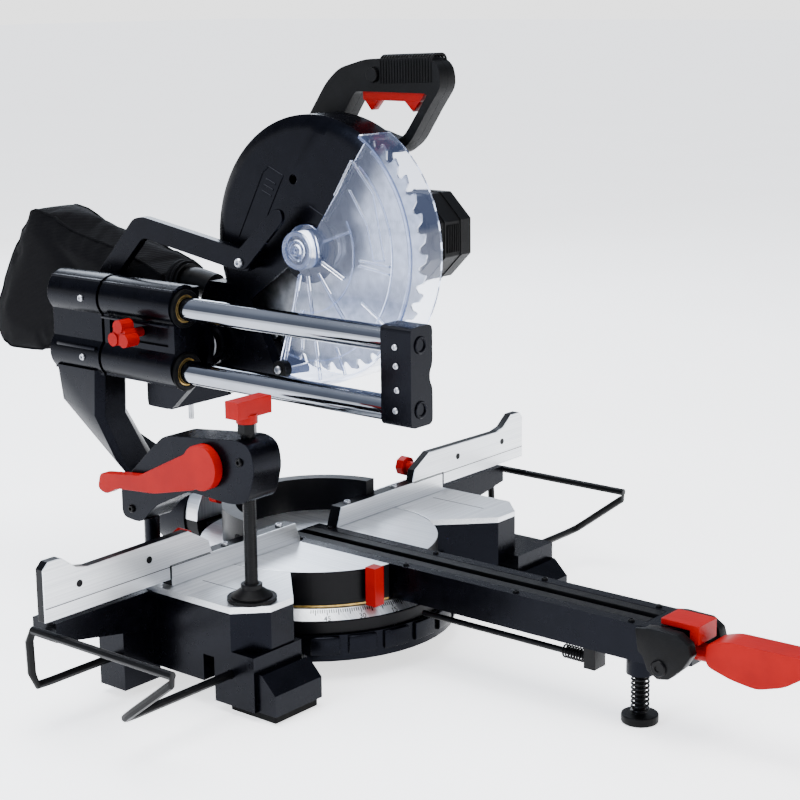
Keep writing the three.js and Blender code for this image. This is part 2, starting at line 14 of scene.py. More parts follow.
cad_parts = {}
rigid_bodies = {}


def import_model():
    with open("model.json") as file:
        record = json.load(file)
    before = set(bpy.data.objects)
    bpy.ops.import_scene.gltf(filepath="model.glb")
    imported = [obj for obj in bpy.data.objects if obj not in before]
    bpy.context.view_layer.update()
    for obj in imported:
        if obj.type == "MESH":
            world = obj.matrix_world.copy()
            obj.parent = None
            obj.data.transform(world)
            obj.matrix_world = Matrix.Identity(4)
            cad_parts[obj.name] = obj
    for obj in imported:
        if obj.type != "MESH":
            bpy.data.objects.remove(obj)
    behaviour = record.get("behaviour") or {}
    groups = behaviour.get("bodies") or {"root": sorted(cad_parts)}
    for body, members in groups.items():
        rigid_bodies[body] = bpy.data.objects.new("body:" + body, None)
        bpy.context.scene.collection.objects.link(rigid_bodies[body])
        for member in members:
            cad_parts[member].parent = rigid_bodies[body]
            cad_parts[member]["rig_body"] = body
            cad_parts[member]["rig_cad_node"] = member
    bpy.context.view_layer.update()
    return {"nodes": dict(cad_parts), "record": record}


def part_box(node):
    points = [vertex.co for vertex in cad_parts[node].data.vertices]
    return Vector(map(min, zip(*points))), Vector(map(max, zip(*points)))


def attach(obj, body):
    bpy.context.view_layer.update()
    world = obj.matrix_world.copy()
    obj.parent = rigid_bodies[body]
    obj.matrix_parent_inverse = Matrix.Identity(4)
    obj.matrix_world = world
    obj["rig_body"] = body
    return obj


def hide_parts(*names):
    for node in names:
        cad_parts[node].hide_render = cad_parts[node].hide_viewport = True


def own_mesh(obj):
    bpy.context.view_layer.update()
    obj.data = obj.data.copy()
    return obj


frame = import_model()

# %% [markdown]
# The saw's own numbers are easiest to read from its mitre pivot: x to the user's right, y away from the user, and
# z up from the bench, in millimetres. The pivot bolt is a CAD node, so its box tells where that point is.

# %% Measures
MM = 0.001
pivot_low, pivot_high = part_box("mitre_pivot_bolt")
PIVOT_Y = (pivot_low.y + pivot_high.y) / 2


def at(x, y, z):
    """A point given in millimetres from the mitre pivot, in metres in the row frame."""
    return Vector((x * MM, y * MM + PIVOT_Y, z * MM))


print("pivot is", round(PIVOT_Y / MM, 1), "mm behind the origin")

# %% [markdown]
# A camera stands in front of the saw and to its left, a little above the table, as a person would who is about to
# use it. Its direction is set from three perpendicular directions, so that no angle has to be guessed twice.

# %% Camera
EYE = Vector((-1.2936, -1.1397, 0.6448))
LOOK = Vector((0.7561, 0.6232, -0.1996))
RIGHT = Vector((0.6342, -0.7731, -0.0112))
SENSOR_MM, LENS_MM, SHIFT_Y = 36, 80.36, -0.0584

camera_data = bpy.data.cameras.new("camera")
camera_data.sensor_width = SENSOR_MM
camera_data.lens = LENS_MM
camera_data.shift_y = SHIFT_Y
camera = bpy.data.objects.new("camera", camera_data)
bpy.context.scene.collection.objects.link(camera)
back = -LOOK.normalized()
right = (RIGHT - RIGHT.dot(back) * back).normalized()
up = back.cross(right)
camera.matrix_world = Matrix.Translation(EYE) @ Matrix((right, up, back)).transposed().to_4x4()
bpy.context.scene.camera = camera
print("camera", camera.location, "lens", camera_data.lens)

# %% [markdown]
# Materials are built from nodes. Colours are written as the sRGB hex values that a painter would pick, and one
# function turns them into the linear values that a renderer adds up. A second function adds one node.

# %% Material helpers
def colour(hex_value):
    """sRGB hex to linear RGBA."""
    parts = [int(hex_value[i:i + 2], 16) / 255 for i in (1, 3, 5)]
    return tuple(c / 12.92 if c <= 0.04045 else ((c + 0.055) / 1.055) ** 2.4 for c in parts) + (1.0,)


def add_node(tree, kind, settings=None, links=None):
    """Adds a node; settings are its properties or socket values, links are {its socket: (node, output)}."""
    node = tree.nodes.new(kind)
    for key, value in (settings or {}).items():
        if isinstance(key, str) and hasattr(node, key):
            setattr(node, key, value)
        else:
            node.inputs[key].default_value = value
    for key, (source, output) in (links or {}).items():
        tree.links.new(source.outputs[output], node.inputs[key])
    return node


def new_material(name, **sockets):
    """A material with its Principled shader set; returns (material, tree, shader)."""
    material = bpy.data.materials.new(name)
    material.use_nodes = True
    tree = material.node_tree
    shader = tree.nodes["Principled BSDF"]
    for key, value in sockets.items():
        shader.inputs[key.replace("_", " ")].default_value = value
    return material, tree, shader


def object_space(tree, scale=(1, 1, 1)):
    """Object coordinates, scaled, for patterns that are measured in metres."""
    place = add_node(tree, "ShaderNodeTexCoord")
    return add_node(tree, "ShaderNodeMapping", {"Scale": scale}, {"Vector": (place, "Object")})


def tone_ramp(tree, source, output, low, high, start=0.0, end=1.0):
    """A colour ramp from one hex colour to another, driven by an output."""
    ramp = add_node(tree, "ShaderNodeValToRGB", links={"Fac": (source, output)})
    first, last = ramp.color_ramp.elements
    first.position, first.color = start, colour(low)
    last.position, last.color = end, colour(high)
    return ramp


def surface(tree, shader, space, tone=None, gloss=None, relief=None):
    """Joins tone (low, high hex, noise per metre), gloss (low, high, per metre) and relief (height m, per metre)."""
    if tone:
        low, high, scale = tone
        noise = add_node(tree, "ShaderNodeTexNoise", {"Scale": scale, "Detail": 5.0}, {"Vector": (space, "Vector")})
        ramp = tone_ramp(tree, noise, "Fac", low, high, 0.35, 0.65)
        tree.links.new(ramp.outputs["Color"], shader.inputs["Base Color"])
    if gloss:
        low, high, scale = gloss
        noise = add_node(tree, "ShaderNodeTexNoise", {"Scale": scale, "Detail": 3.0}, {"Vector": (space, "Vector")})
        span = add_node(tree, "ShaderNodeMapRange", {"To Min": low, "To Max": high}, {"Value": (noise, "Fac")})
        tree.links.new(span.outputs["Result"], shader.inputs["Roughness"])
    if relief:
        height, scale = relief
        noise = add_node(tree, "ShaderNodeTexNoise", {"Scale": scale, "Detail": 2.0}, {"Vector": (space, "Vector")})
        bump = add_node(tree, "ShaderNodeBump", {"Distance": height, "Strength": 1.0}, {"Height": (noise, "Fac")})
        tree.links.new(bump.outputs["Normal"], shader.inputs["Normal"])


finishes = {}

# %% [markdown]
# The saw stands on a plain pale floor, which shines a little itself, as a lit backdrop does. Soft studio light comes
# from four large panels: above, in front, behind, and on the left, cooler, to give black paint its blue sheen.

# %% Floor and lights
bpy.ops.object.select_all(action="DESELECT")
bpy.ops.mesh.primitive_plane_add(size=60, location=(0, 0, -0.0004))
floor = bpy.context.object
floor.name = "studio_floor"
floor_paint, tree, shader = new_material("studio_white", Roughness=0.9, Specular_IOR_Level=0.0,
                                         Emission_Color=(1, 1, 1, 1), Emission_Strength=1.5)
surface(tree, shader, object_space(tree), ("#f6f6f6", "#fbfbfb", 2.0))
floor.data.materials.append(floor_paint)


def softbox(name, place, aim, size, power, tint):
    """A square light panel at place, facing aim."""
    panel = bpy.data.lights.new(name, "AREA")
    panel.shape = "SQUARE"
    panel.size, panel.energy, panel.color = size, power, tint
    lamp = bpy.data.objects.new(name, panel)
    bpy.context.scene.collection.objects.link(lamp)
    lamp.location = place
    lamp.rotation_euler = (Vector(aim) - Vector(place)).to_track_quat("-Z", "Y").to_euler()
    return lamp


MIDDLE = (0, 0, 0.3)
softbox("top_panel", (-0.3, 0.2, 2.4), MIDDLE, 1.8, 110, (1, 1, 1))
softbox("left_panel", (-2.3, 0.4, 1.2), MIDDLE, 1.0, 55, (0.72, 0.82, 1))
softbox("front_panel", (0.2, -2.3, 1.0), MIDDLE, 1.0, 40, (1, 0.98, 0.96))
softbox("rear_panel", (1.4, 2.0, 1.5), MIDDLE, 1.2, 40, (0.8, 0.88, 1))

# %% [markdown]
# The world is the room round the panels: bright at the horizon, so that the floor runs into it, a darker band
# above that, which gives chrome its dark stripes, and a pale ceiling.

# %% Room light
ROOM_STRENGTH = 2.4
HORIZON, CEILING = (0.07, (1, 1, 1, 1)), (0.95, (0.5, 0.53, 0.6, 1))
DARK_BAND = ((0.14, (0.12, 0.13, 0.16, 1)), (0.5, (0.16, 0.18, 0.22, 1)))

world = bpy.data.worlds.new("studio")
bpy.context.scene.world = world
world.use_nodes = True
room = world.node_tree
heading = add_node(room, "ShaderNodeTexCoord")
height = add_node(room, "ShaderNodeSeparateXYZ", links={0: (heading, "Generated")})
bands = add_node(room, "ShaderNodeValToRGB", links={0: (height, "Z")})
for element, (place, value) in zip(bands.color_ramp.elements, (HORIZON, CEILING)):
    element.position, element.color = place, value
for place, value in DARK_BAND:
    bands.color_ramp.elements.new(place).color = value
room.links.new(bands.outputs["Color"], room.nodes["Background"].inputs["Color"])
room.nodes["Background"].inputs["Strength"].default_value = ROOM_STRENGTH

# %% [markdown]
# Die-cast aluminium under satin black paint covers the base, arms, carriage and head. Casting leaves a faint
# orange-peel under the paint about 1.5 mm across, and the paint is glossy enough to catch the cool side light.

# %% Satin black paint on die-cast aluminium
PEEL = 1 / 0.0015
paint, tree, shader = new_material("satin_black_paint", Metallic=0.0, Specular_IOR_Level=0.09,
                                   Specular_Tint=colour("#dbe3ff"))
space = object_space(tree)
surface(tree, shader, space, tone=("#000001", "#020204", 60.0), gloss=(0.2, 0.32, 90.0), relief=(0.00004, PEEL))
finishes["black_paint"] = paint

# %% [markdown]
# Motor housing, handle shells and elbow are injection-moulded, glass-filled nylon. Its spark-eroded mould leaves a
# fine matt texture, so it is a little greyer and rougher than the paint. The real grain of 0.3 mm is drawn at 0.8 mm.

# %% Moulded black nylon
GRAIN = 1 / 0.0008
nylon, tree, shader = new_material("moulded_black_nylon", Metallic=0.0, Specular_IOR_Level=0.08)
space = object_space(tree)
surface(tree, shader, space, tone=("#020202", "#050506", 45.0), gloss=(0.38, 0.52, 120.0), relief=(0.00015, GRAIN))
finishes["black_plastic"] = nylon

# %% [markdown]
# The work supports are bent steel rods with a black powder coat, smooth but for a soft orange-peel. Feet and the
# cord's gland are rubber, the darkest and roughest black on the saw.

# %% Powder coat and rubber
powder, tree, shader = new_material("black_powder_coat", Metallic=0.0, Specular_IOR_Level=0.1)
surface(tree, shader, object_space(tree), ("#010102", "#040405", 80.0), (0.26, 0.38, 150.0), (0.0001, 1 / 0.002))
finishes["black_wire"] = powder
rubber, tree, shader = new_material("moulded_rubber", Metallic=0.0, Specular_IOR_Level=0.08)
surface(tree, shader, object_space(tree), ("#050505", "#0b0b0b", 70.0), (0.7, 0.85, 200.0), (0.0002, 1 / 0.001))
finishes["rubber"] = rubber

# %% [markdown]
# The tables, turntable and fences are bare aluminium castings milled flat. The mill leaves fine lines, really 0.2 mm
# apart and drawn here 0.8 mm apart so that they show, over a bright, slightly uneven metal.

# %% Milled aluminium
ALONG_CUT, ACROSS_CUT = 4.0, 1 / 0.0008


def milling(tree, shader, cut, smooth, rough):
    """Cutter lines with their gloss and relief; returns the ramp of the metal's colour."""
    lines = object_space(tree, cut)
    noise = add_node(tree, "ShaderNodeTexNoise", {"Scale": 1.0, "Detail": 3.0}, {"Vector": (lines, "Vector")})
    gloss = add_node(tree, "ShaderNodeMapRange", {"To Min": smooth, "To Max": rough}, {"Value": (noise, "Fac")})
    tree.links.new(gloss.outputs["Result"], shader.inputs["Roughness"])
    bump = add_node(tree, "ShaderNodeBump", {"Distance": 0.00006, "Strength": 1.0}, {"Height": (noise, "Fac")})
    tree.links.new(bump.outputs["Normal"], shader.inputs["Normal"])
    return tone_ramp(tree, noise, "Fac", "#c4c7cb", "#e6e8ea", 0.3, 0.7)


milled, tree, shader = new_material("milled_aluminium", Metallic=1.0)
ramp = milling(tree, shader, (ALONG_CUT, ACROSS_CUT, ACROSS_CUT), 0.34, 0.5)
tree.links.new(ramp.outputs["Color"], shader.inputs["Base Color"])
finishes["machined_aluminium"] = milled

# %% [markdown]
# Fences, turntable and scale ring are castings that are painted black all over and then milled on one side only:
# the front of the fences, the top of the other two. A limit on one coordinate says which side is bare.

# %% Painted castings with one milled side
def milled_side(name, axis, limit, above):
    """Milled metal where the axis coordinate is above (or below) limit, in metres, and black paint elsewhere."""
    material, tree, shader = new_material(name, Specular_IOR_Level=0.09)
    place = add_node(tree, "ShaderNodeTexCoord")
    split = add_node(tree, "ShaderNodeSeparateXYZ", links={0: (place, "Object")})
    test = "GREATER_THAN" if above else "LESS_THAN"
    bare = add_node(tree, "ShaderNodeMath", {"operation": test, 1: limit}, {0: (split, axis)})
    along_x, along_y = (ALONG_CUT, ACROSS_CUT, ACROSS_CUT), (ACROSS_CUT, ALONG_CUT, ALONG_CUT)
    ramp = milling(tree, shader, along_x if axis == "Y" else along_y, 0.28, 0.42)
    mix = add_node(tree, "ShaderNodeMix", {"data_type": "RGBA", 6: colour("#020204")},
                   {0: (bare, "Value"), 7: (ramp, "Color")})
    tree.links.new(mix.outputs[2], shader.inputs["Base Color"])
    tree.links.new(bare.outputs["Value"], shader.inputs["Metallic"])
    return material


fence_finish = milled_side("milled_front_on_black_casting", "Y", PIVOT_Y + 1.0 * MM, above=False)
scale_finish = milled_side("milled_cone_on_black_ring", "Z", 57.0 * MM, above=True)
turntable_finish = milled_side("milled_top_on_black_casting", "Z", 101.6 * MM, above=True)

# %% [markdown]
# The two rails are ground steel tubes with hard chrome: nearly a mirror, with only a trace of haze.
# Screws, spindle, pins and blade are plain steel: turned, stamped or ground, with a soft grey gloss.

# %% Chrome, steel and brass
chrome, tree, shader = new_material("hard_chrome", Metallic=1.0)
surface(tree, shader, object_space(tree), ("#83878f", "#8d9199", 25.0), (0.08, 0.1, 30.0))
finishes["chrome_rail"] = chrome
steel, tree, shader = new_material("turned_steel", Metallic=1.0)
surface(tree, shader, object_space(tree), ("#9b9da2", "#b9bbc0", 120.0), (0.26, 0.4, 300.0), (0.00005, 1 / 0.0006))
finishes["steel"] = steel
brass, tree, shader = new_material("sintered_brass", Metallic=1.0)
surface(tree, shader, object_space(tree), ("#8f7440", "#b8985a", 200.0), (0.3, 0.45, 300.0), (0.00005, 1 / 0.0008))
finishes["brass"] = brass

# %% [markdown]
# Knobs, levers, pointer and trigger are red ABS, moulded glossy. ABS is an opaque plastic with a little scatter
# below the skin, which keeps its shadows red and not black.

# %% Red ABS
red, tree, shader = new_material("gloss_red_abs", Metallic=0.0, Specular_IOR_Level=0.08)
surface(tree, shader, object_space(tree), ("#7c0000", "#880000", 30.0), (0.3, 0.4, 60.0), (0.00008, 1 / 0.003))
finishes["red_plastic"] = red

# %% [markdown]
# The lower guard is injection-moulded clear polycarbonate. A faint cool glow is painted into it as emission, standing
# in for the light of the lamp under the head; the plastic gives out no light of its own.

# %% Clear polycarbonate with a painted glow
# The emission colour and strength below paint a faint cool glow into the guard, ribs and rings; they are no lamp.
clear, tree, shader = new_material("clear_polycarbonate_painted_glow", Metallic=0.0, IOR=1.3, Transmission_Weight=1.0,
                                   Base_Color=colour("#f2f6ff"), Emission_Color=colour("#a8bfff"),
                                   Emission_Strength=0.07)
surface(tree, shader, object_space(tree), gloss=(0.0, 0.1, 30.0), relief=(0.0002, 1 / 0.02))
finishes["clear_plastic"] = clear

# %% [markdown]
# The dust bag is woven black nylon, dull and nearly without sheen. Threads of 0.5 mm are drawn 1.4 mm apart, with
# two waves that cross.

# %% Woven nylon
THREAD = 0.0014
cloth, tree, shader = new_material("woven_black_nylon", Metallic=0.0, Roughness=0.8, Specular_IOR_Level=0.05,
                                   Sheen_Weight=0.01, Sheen_Roughness=0.4)
space = object_space(tree)
WAVES_PER_METRE = math.pi / THREAD / 10
warp, weft = [add_node(tree, "ShaderNodeTexWave", {"wave_type": "BANDS", "bands_direction": axis,
                                                   "Scale": WAVES_PER_METRE}, {"Vector": (space, "Vector")})
              for axis in ("Y", "Z")]
weave = add_node(tree, "ShaderNodeMath", {"operation": "MULTIPLY"}, {0: (warp, "Fac"), 1: (weft, "Fac")})
bump = add_node(tree, "ShaderNodeBump", {"Distance": 0.0003, "Strength": 1.0}, {"Height": (weave, "Value")})
tree.links.new(bump.outputs["Normal"], shader.inputs["Normal"])
ramp = tone_ramp(tree, weave, "Value", "#020203", "#08080a")
tree.links.new(ramp.outputs["Color"], shader.inputs["Base Color"])
finishes["fabric"] = cloth

# %% [markdown]
# Each CAD node already knows its slot in the record, so one loop gives every node its finish. A few are castings
# with one milled side, or have a finish of their own.

# %% Finishes on the CAD pieces
OWN_FINISH = {"fence_casting": fence_finish, "left_sliding_fence": fence_finish, "right_sliding_fence": fence_finish,
              "turntable_disc": turntable_finish, "scale_ring": scale_finish,
              "clamp_spindle": finishes["black_wire"], "detent_rod": finishes["black_wire"]}
for part in frame["record"]["subparts"]:
    node = frame["nodes"][part["node"]]
    node.data.materials.clear()
    node.data.materials.append(OWN_FINISH.get(part["node"], finishes[part["material_slot"]]))
print("finished", len(frame["nodes"]), "CAD pieces")

# %% [markdown]
# Cast and moulded parts have no knife edges. The CAD mesh itself stays as it is; four modifiers on it join its
# triangles, clear the flat ones, round every edge by about a millimetre, and weight the normals to the large faces.

# %% Rounded edges on the CAD pieces
SMALL_EDGE, CAST_EDGE = (0.5, 2), (1.2, 2)  # millimetres, segments
OWN_EDGE = {"mitre_lock_handle": (5.0, 4), "clamp_cam_lever": (2.5, 2), "clamp_body": (3.0, 2),
            "front_bracket": (4.5, 3)}
SHARP = math.radians(30)
WELD_GAP = 0.00002


def round_edges(node, width, segments):
    """Weld, clear and bevel the CAD node by modifiers."""
    weld = node.modifiers.new("weld", "WELD")
    weld.merge_threshold = WELD_GAP
    flat = node.modifiers.new("flat", "DECIMATE")
    flat.decimate_type, flat.angle_limit = "DISSOLVE", math.radians(1)
    edge = node.modifiers.new("edge", "BEVEL")
    edge.width, edge.segments, edge.limit_method, edge.angle_limit = width * MM, segments, "ANGLE", SHARP
    edge.use_clamp_overlap = True
    normal = node.modifiers.new("normal", "WEIGHTED_NORMAL")
    normal.keep_sharp = True
    for polygon in node.data.polygons:
        polygon.use_smooth = True


for name, node in frame["nodes"].items():
    cast = any(word in name for word in ("casting", "housing", "foot"))
    round_edges(node, *OWN_EDGE.get(name, CAST_EDGE if cast else SMALL_EDGE))

# %% [markdown]
# # Making small parts
# Every added part starts as one of Blender's primitives and is then shaped in edit mode. These few tools are the
# ones a turner, a sheet-metal worker and a fitter would ask for: turn a profile, cut an outline, place copies.

# %% Tools
def choose(piece):
    """Selects only this piece and makes it active."""
    bpy.ops.object.select_all(action="DESELECT")
    piece.select_set(True)
    bpy.context.view_layer.objects.active = piece


def named(name):
    """Gives the object just added its name."""
    piece = bpy.context.object
    piece.name = piece.data.name = name
    return piece


def settle(piece, matrix=None):
    """Moves the place of a piece into its mesh, so that its object is at the origin."""
    choose(piece)
    if matrix is not None:
        piece.matrix_world = matrix @ piece.matrix_world
    bpy.ops.object.transform_apply(location=True, rotation=True, scale=True)
    return piece


def opened(piece, select="SELECT"):
    """Opens a piece in edit mode with everything selected, or nothing."""
    choose(piece)
    bpy.ops.object.mode_set(mode="EDIT")
    bpy.ops.mesh.select_all(action=select)


def applied(piece, modifier):
    """Turns a modifier's result into the piece's mesh."""
    choose(piece)
    bpy.ops.object.modifier_apply(modifier=modifier.name)
    return piece


def facing_out(piece):
    """Merges doubled points and turns all faces outwards."""
    opened(piece)
    bpy.ops.mesh.remove_doubles(threshold=0.00001)
    bpy.ops.mesh.dissolve_degenerate(threshold=0.000001)
    bpy.ops.mesh.normals_make_consistent(inside=False)
    bpy.ops.object.mode_set(mode="OBJECT")
    return piece


def axes(direction, place, turn=0.0):
    """A matrix that stands local z along direction at place, with local x along x, or along y when z lies on x."""
    up = Vector(direction).normalized()
    side = Vector((0, 1, 0)) if abs(up.x) > 0.9 else Vector((1, 0, 0))
    side = (side - side.dot(up) * up).normalized()
    turn_to = Matrix((side, up.cross(side), up)).transposed().to_4x4()
    return Matrix.Translation(place) @ turn_to @ Matrix.Rotation(turn, 4, "Z")


def turned(name, profile, place, direction=(0, 0, 1), steps=32, arc=360.0, start=0.0):
    """Spins a closed profile of (radius, height) points in millimetres round an axis through place."""
    bpy.ops.object.select_all(action="DESELECT")
    bpy.ops.mesh.primitive_circle_add(vertices=len(profile), radius=MM)
    piece = named(name)
    for vertex, (radius, rise) in zip(piece.data.vertices, profile):
        vertex.co = (radius * MM, 0, rise * MM)
    part_turn = arc < 360
    opened(piece)
    if part_turn:
        bpy.ops.mesh.edge_face_add()
    bpy.ops.mesh.spin(steps=steps, angle=-math.radians(arc), center=(0, 0, 0), axis=(0, 0, 1), dupli=False)
    bpy.ops.object.mode_set(mode="OBJECT")
    if part_turn:
        close_ends(piece)
    facing_out(piece)
    return settle(piece, axes(direction, place, math.radians(start)))


def close_ends(piece):
    """Fills any open loop left at the two ends of a part turn."""
    opened(piece, "DESELECT")
    bpy.ops.mesh.select_mode(type="EDGE")
    bpy.ops.mesh.select_non_manifold(extend=False, use_boundary=True, use_wire=False, use_multi_face=False,
                                     use_non_contiguous=False, use_verts=False)
    bpy.ops.mesh.fill_holes(sides=0)
    bpy.ops.mesh.select_mode(type="VERT")
    bpy.ops.object.mode_set(mode="OBJECT")


PLANES = {
    "x": Matrix(((0, 0, 1, 0), (1, 0, 0, 0), (0, 1, 0, 0), (0, 0, 0, 1))),
    "y": Matrix(((1, 0, 0, 0), (0, 0, 1, 0), (0, 1, 0, 0), (0, 0, 0, 1))),
}


def cut_outline(name, points, plane, low, high):
    """Cuts an outline (in the two other coordinates, millimetres) from sheet between low and high along plane."""
    bpy.ops.object.select_all(action="DESELECT")
    bpy.ops.mesh.primitive_circle_add(vertices=len(points), radius=MM, fill_type="NGON")
    piece = named(name)
    for vertex, (u, v) in zip(piece.data.vertices, points):
        vertex.co = (u * MM, v * MM, low * MM)
    opened(piece)
    bpy.ops.mesh.extrude_region_move(TRANSFORM_OT_translate={"value": (0, 0, (high - low) * MM)})
    bpy.ops.object.mode_set(mode="OBJECT")
    settle(piece, Matrix.Translation((0, PIVOT_Y, 0)) @ PLANES[plane])
    return facing_out(piece)


def block(name, low, high):
    """A block between two corners in millimetres."""
    bpy.ops.object.select_all(action="DESELECT")
    middle = [(a + b) / 2 for a, b in zip(low, high)]
    bpy.ops.mesh.primitive_cube_add(size=1, location=at(*middle))
    piece = named(name)
    piece.scale = [abs(b - a) * MM for a, b in zip(low, high)]
    return settle(piece)


def bar_between(name, start, end, width, depth):
    """A flat bar from start to end (millimetres), width across and depth along x."""
    bpy.ops.object.select_all(action="DESELECT")
    bpy.ops.mesh.primitive_cube_add(size=1)
    piece = named(name)
    first, last = at(*start), at(*end)
    along = (last - first).normalized()
    out = Vector((1, 0, 0))
    across = along.cross(out).normalized()
    turn = Matrix((across, along, out)).transposed().to_4x4()
    size = Matrix.Diagonal((width * MM, (last - first).length, depth * MM, 1))
    return settle(piece, Matrix.Translation((first + last) / 2) @ turn @ size)


def bevelled(piece, width, segments=2):
    """Rounds the edges of a piece, width in millimetres."""
    edge = piece.modifiers.new("edge", "BEVEL")
    edge.width, edge.segments, edge.limit_method, edge.angle_limit = width * MM, segments, "ANGLE", SHARP
    return applied(piece, edge)


def copied(piece, matrix):
    """A copy with its own mesh, moved by matrix."""
    choose(piece)
    bpy.ops.object.duplicate()
    return settle(bpy.context.object, matrix)


def joined(name, pieces):
    """Several bodies as one object."""
    bpy.ops.object.select_all(action="DESELECT")
    for piece in pieces:
        piece.select_set(True)
    bpy.context.view_layer.objects.active = pieces[0]
    bpy.ops.object.join()
    return named(name)


def fitted(piece, body, slot, finish=None, angle=35):
    """Smooths, paints and mounts a piece."""
    choose(piece)
    bpy.ops.object.shade_smooth_by_angle(angle=math.radians(angle))
    piece.data.materials.clear()
    piece.data.materials.append(finish or finishes[slot])
    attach(piece, body)
    print(piece.name, len(piece.data.polygons), "faces on", body)
    return piece


def coil(name, start, direction, length, radius, wire, turns):
    """A round-wire spring: a small circle swept by a Screw modifier. Sizes in millimetres."""
    bpy.ops.object.select_all(action="DESELECT")
    bpy.ops.mesh.primitive_circle_add(vertices=8, radius=wire * MM, rotation=(math.pi / 2, 0, 0))
    piece = named(name)
    piece.location = (radius * MM, 0, 0)
    settle(piece)
    screw = piece.modifiers.new("coil", "SCREW")
    screw.angle, screw.screw_offset, screw.iterations = 2 * math.pi, length / turns * MM, turns
    screw.steps = screw.render_steps = 20
    screw.use_merge_vertices = False
    applied(piece, screw)
    close_ends(piece)
    facing_out(piece)
    return settle(piece, axes(direction, at(*start)))


# %% [markdown]
# ## The blade
# A 250 mm blade for wood has 40 teeth. Each tooth is a hook with a gullet in front of it that carries the chip
# out. The outline is one circle primitive with five points for each tooth, bridged to the bore and given thickness.

# %% Toothed blade
HUB_Y, HUB_Z = -18.0, 400.0
TEETH, BLADE_R, BORE_R = 40, 124.6, 8.4
BLADE_HALF = 1.2
TOOTH = ((0.0, 0.0), (0.36, 2.2), (0.62, 8.6), (0.8, 9.2), (0.93, 6.4))  # share of the pitch, depth below the tip

outline = []
for tooth in range(TEETH):
    for share, depth in TOOTH:
        angle = 2 * math.pi * (tooth + share) / TEETH
        outline.append(((BLADE_R - depth) * math.cos(angle), (BLADE_R - depth) * math.sin(angle)))
bpy.ops.object.select_all(action="DESELECT")
bpy.ops.mesh.primitive_circle_add(vertices=len(outline), radius=MM)
toothed = named("toothed_blade")
for vertex, (u, v) in zip(toothed.data.vertices, outline):
    vertex.co = (u * MM, v * MM, -BLADE_HALF * MM)
opened(toothed)
bpy.ops.mesh.primitive_circle_add(vertices=len(outline), radius=BORE_R * MM, location=(0, 0, -BLADE_HALF * MM))
bpy.ops.mesh.select_all(action="SELECT")
bpy.ops.mesh.bridge_edge_loops()
bpy.ops.mesh.select_all(action="SELECT")
bpy.ops.mesh.extrude_region_move(TRANSFORM_OT_translate={"value": (0, 0, 2 * BLADE_HALF * MM)})
bpy.ops.object.mode_set(mode="OBJECT")
facing_out(toothed)
settle(toothed, axes((1, 0, 0), at(0, HUB_Y, HUB_Z)))
fitted(toothed, "blade", "steel", angle=20)
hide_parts("saw_blade")

# %% [markdown]
# A carbide tip is brazed into each tooth. One small wedge is modelled and set round the rim.

# %% Carbide tips
tips = []
for tooth in range(TEETH):
    angle = 2 * math.pi * tooth / TEETH
    tip = block("tip", (-1.6, -1.4, -3.4), (1.6, 1.0, 0.4))
    settle(tip, Matrix.Translation((0, -PIVOT_Y, 0)))
    spot = Matrix.Translation(at(0, HUB_Y, HUB_Z)) @ Matrix.Rotation(angle, 4, "X") \
        @ Matrix.Translation((0, 0.4 * MM, (BLADE_R - 0.6) * MM))
    tips.append(settle(tip, spot))
fitted(bevelled(joined("carbide_tips", tips), 0.25, 1), "blade", "steel")

# %% [markdown]
# ## The clear guard
# Stiffening ribs stand on the outer face of the polycarbonate: short radial bars, an empty frame where a label
# would be, steps at the rim and turned rings round the hub. Each catches light at its edges.

# %% Guard ribs
RIB_X = -32.6
# angle from the back towards the top, inner and outer radius, width
SPOKES = ((206, 24, 56, 3.0), (184, 70, 108, 2.2), (188, 70, 108, 2.2), (232, 28, 100, 3.0), (262, 26, 128, 3.0),
          (284, 26, 128, 3.2), (160, 26, 62, 3.0), (212, 84, 118, 2.2), (247, 100, 128, 2.2), (273, 60, 100, 2.2))
EMPTY_FRAME = ((-58, 454), (-80, 489), (-106, 460), (-119, 398), (-106, 396), (-98, 430), (-77, 461))


def on_guard(degrees, radius):
    """A point on the side of the guard, by angle from the back towards the top, and radius."""
    a = math.radians(degrees)
    return (RIB_X, HUB_Y + radius * math.cos(a), HUB_Z + radius * math.sin(a))


ribs = [bar_between("rib", on_guard(degrees, inner), on_guard(degrees, outer), width, 3.0)
        for degrees, inner, outer, width in SPOKES]
ribs += [bar_between("rib", (RIB_X, *first), (RIB_X, *last), 1.8, 2.4)
         for first, last in zip(EMPTY_FRAME, EMPTY_FRAME[1:])]
fitted(bevelled(joined("guard_ribs", ribs), 0.5, 1), "guard", "clear_plastic")

# %% Guard rings
rings = []
for inner, outer, start, arc in ((128.6, 133.0, 131, 155), (108.5, 110.0, 130, 154), (61.0, 62.6, 150, 128)):
    profile = ((inner, 0), (outer, 0), (outer, 1.0), (inner, 1.0))
    rings.append(turned("ring", profile, at(-31.9, HUB_Y, HUB_Z), (1, 0, 0), 40, arc, start))
for inner, outer, rise in ((14.0, 18.6, 2.0), (8.2, 10.4, 3.2), (2.5, 6.0, 4.0)):
    profile = ((inner, 0), (outer, 0), (outer - 0.6, rise), (inner + 0.4, rise))
    rings.append(turned("ring", profile, at(-42.9, HUB_Y, HUB_Z), (-1, 0, 0), 32))
fitted(joined("guard_rings", rings), "guard", "clear_plastic")

# %% [markdown]
# ## The upper guard
# The painted face carries a plain raised panel with a fine frame and three small bars, and a lip at its front edge.
# Flat bars are laid out point to point, like strips of sheet.

# %% Blank panel on the upper guard
FACE_X = -26.9
PANEL = ((76, 403), (40, 471), (32, 477), (13, 469), (49, 404))
FRONT_LIP = ((-82, 487), (-57, 446), (-44, 430), (-20, 441), (0, 437))

